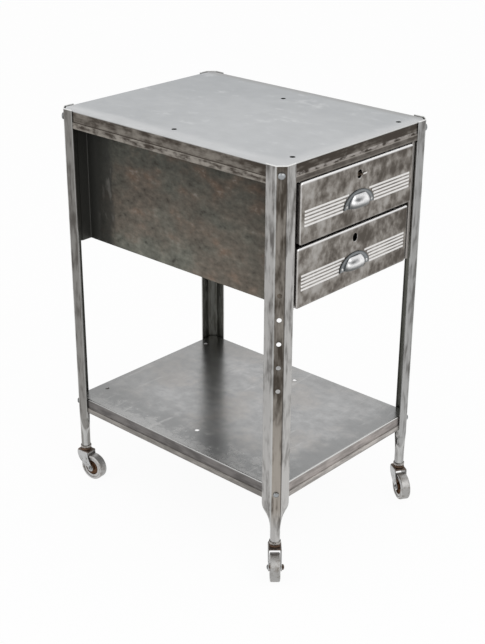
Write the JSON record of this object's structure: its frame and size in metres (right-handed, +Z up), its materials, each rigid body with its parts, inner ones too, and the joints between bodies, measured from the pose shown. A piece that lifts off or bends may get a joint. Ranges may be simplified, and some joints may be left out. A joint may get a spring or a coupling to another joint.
{
  "type": "mobile tool stand",
  "caption": "Rolling sheet-steel tool stand: hemmed top and lower shelf on pressed legs, a hung case with sliding drawers and cup pulls, and swivel stem casters.",
  "frame": {"origin": "centre of the bounding box, on the floor", "axes": "+Z up, drawers open towards -Y, +X across the drawers to the right of someone facing them"},
  "size_m": [0.5166, 0.6718, 0.8775],
  "materials": {
    "plate": "satin, lightly stained bare steel",
    "leg": "brushed bare steel, worn bright at the bends",
    "case": "dark mottled mill scale",
    "drawer_front": "mottled, brushed, bright ribs and edges",
    "pull": "worn polished plating",
    "fastener": "dull, slightly rusted",
    "collar": "rusted",
    "caster": "satin with rust on the crown",
    "wheel": "worn smooth tread, rusty web"
  },
  "bodies": {
    "frame": {"top_pan": "plate", "shelf_pan": "plate", "leg_front_left": "leg", "leg_front_right": "leg", "leg_rear_left": "leg", "leg_rear_right": "leg", "case_side_left": "case", "case_side_right": "case", "case_back": "case", "runner_upper_left": "case", "runner_upper_right": "case", "runner_lower_left": "case", "runner_lower_right": "case", "caster_socket_front_left": "collar", "top_bolt_front_left": "fastener", "top_nut_front_left": "fastener", "shelf_bolt_front_left": "fastener", "shelf_nut_front_left": "fastener", "caster_socket_front_right": "collar", "top_bolt_front_right": "fastener", "top_nut_front_right": "fastener", "shelf_bolt_front_right": "fastener", "shelf_nut_front_right": "fastener", "caster_socket_rear_left": "collar", "top_bolt_rear_left": "fastener", "top_nut_rear_left": "fastener", "shelf_bolt_rear_left": "fastener", "shelf_nut_rear_left": "fastener", "caster_socket_rear_right": "collar", "top_bolt_rear_right": "fastener", "top_nut_rear_right": "fastener", "shelf_bolt_rear_right": "fastener", "shelf_nut_rear_right": "fastener"},
    "upper_drawer": {"upper_drawer_box": "case", "upper_drawer_front": "drawer_front", "upper_pull": "pull", "upper_pull_rivet_left": "fastener", "upper_pull_rivet_right": "fastener", "upper_lock_tongue": "fastener"},
    "lower_drawer": {"lower_drawer_box": "case", "lower_drawer_front": "drawer_front", "lower_pull": "pull", "lower_pull_rivet_left": "fastener", "lower_pull_rivet_right": "fastener"},
    "caster_front_left": {"caster_fork_front_left": "caster", "caster_axle_front_left": "fastener"},
    "wheel_front_left": {"caster_wheel_front_left": "wheel"},
    "caster_front_right": {"caster_fork_front_right": "caster", "caster_axle_front_right": "fastener"},
    "wheel_front_right": {"caster_wheel_front_right": "wheel"},
    "caster_rear_left": {"caster_fork_rear_left": "caster", "caster_axle_rear_left": "fastener"},
    "wheel_rear_left": {"caster_wheel_rear_left": "wheel"},
    "caster_rear_right": {"caster_fork_rear_right": "caster", "caster_axle_rear_right": "fastener"},
    "wheel_rear_right": {"caster_wheel_rear_right": "wheel"}
  },
  "joints": [
    {"name": "upper_drawer_slide", "type": "slide", "parent": "frame", "child": "upper_drawer", "axis": [0, -1, 0], "range_m": [-0.005, 0.4]},
    {"name": "lower_drawer_slide", "type": "slide", "parent": "frame", "child": "lower_drawer", "axis": [0, -1, 0], "range_m": [0, 0.4]},
    {"name": "caster_swivel_front_left", "type": "hinge", "parent": "frame", "child": "caster_front_left", "pos_m": [-0.21385, -0.2866, 0.0691], "axis": [0, 0, 1], "continuous": true},
    {"name": "wheel_spin_front_left", "type": "hinge", "parent": "caster_front_left", "child": "wheel_front_left", "pos_m": [-0.23031, -0.30194, 0.03015], "axis": [0.682, -0.7314, 0], "continuous": true},
    {"name": "caster_swivel_front_right", "type": "hinge", "parent": "frame", "child": "caster_front_right", "pos_m": [0.21385, -0.2866, 0.0691], "axis": [0, 0, 1], "continuous": true},
    {"name": "wheel_spin_front_right", "type": "hinge", "parent": "caster_front_right", "child": "wheel_front_right", "pos_m": [0.20193, -0.30568, 0.03015], "axis": [0.848, -0.5299, 0], "continuous": true},
    {"name": "caster_swivel_rear_left", "type": "hinge", "parent": "frame", "child": "caster_rear_left", "pos_m": [-0.21385, 0.29351, 0.0691], "axis": [0, 0, 1], "continuous": true},
    {"name": "wheel_spin_rear_left", "type": "hinge", "parent": "caster_rear_left", "child": "wheel_rear_left", "pos_m": [-0.2115, 0.27113, 0.03015], "axis": [0.9945, 0.1045, 0], "continuous": true},
    {"name": "caster_swivel_rear_right", "type": "hinge", "parent": "frame", "child": "caster_rear_right", "pos_m": [0.21385, 0.29351, 0.0691], "axis": [0, 0, 1], "continuous": true},
    {"name": "wheel_spin_rear_right", "type": "hinge", "parent": "caster_rear_right", "child": "wheel_rear_right", "pos_m": [0.23031, 0.30885, 0.03015], "axis": [-0.682, 0.7314, 0], "continuous": true}
  ]
}
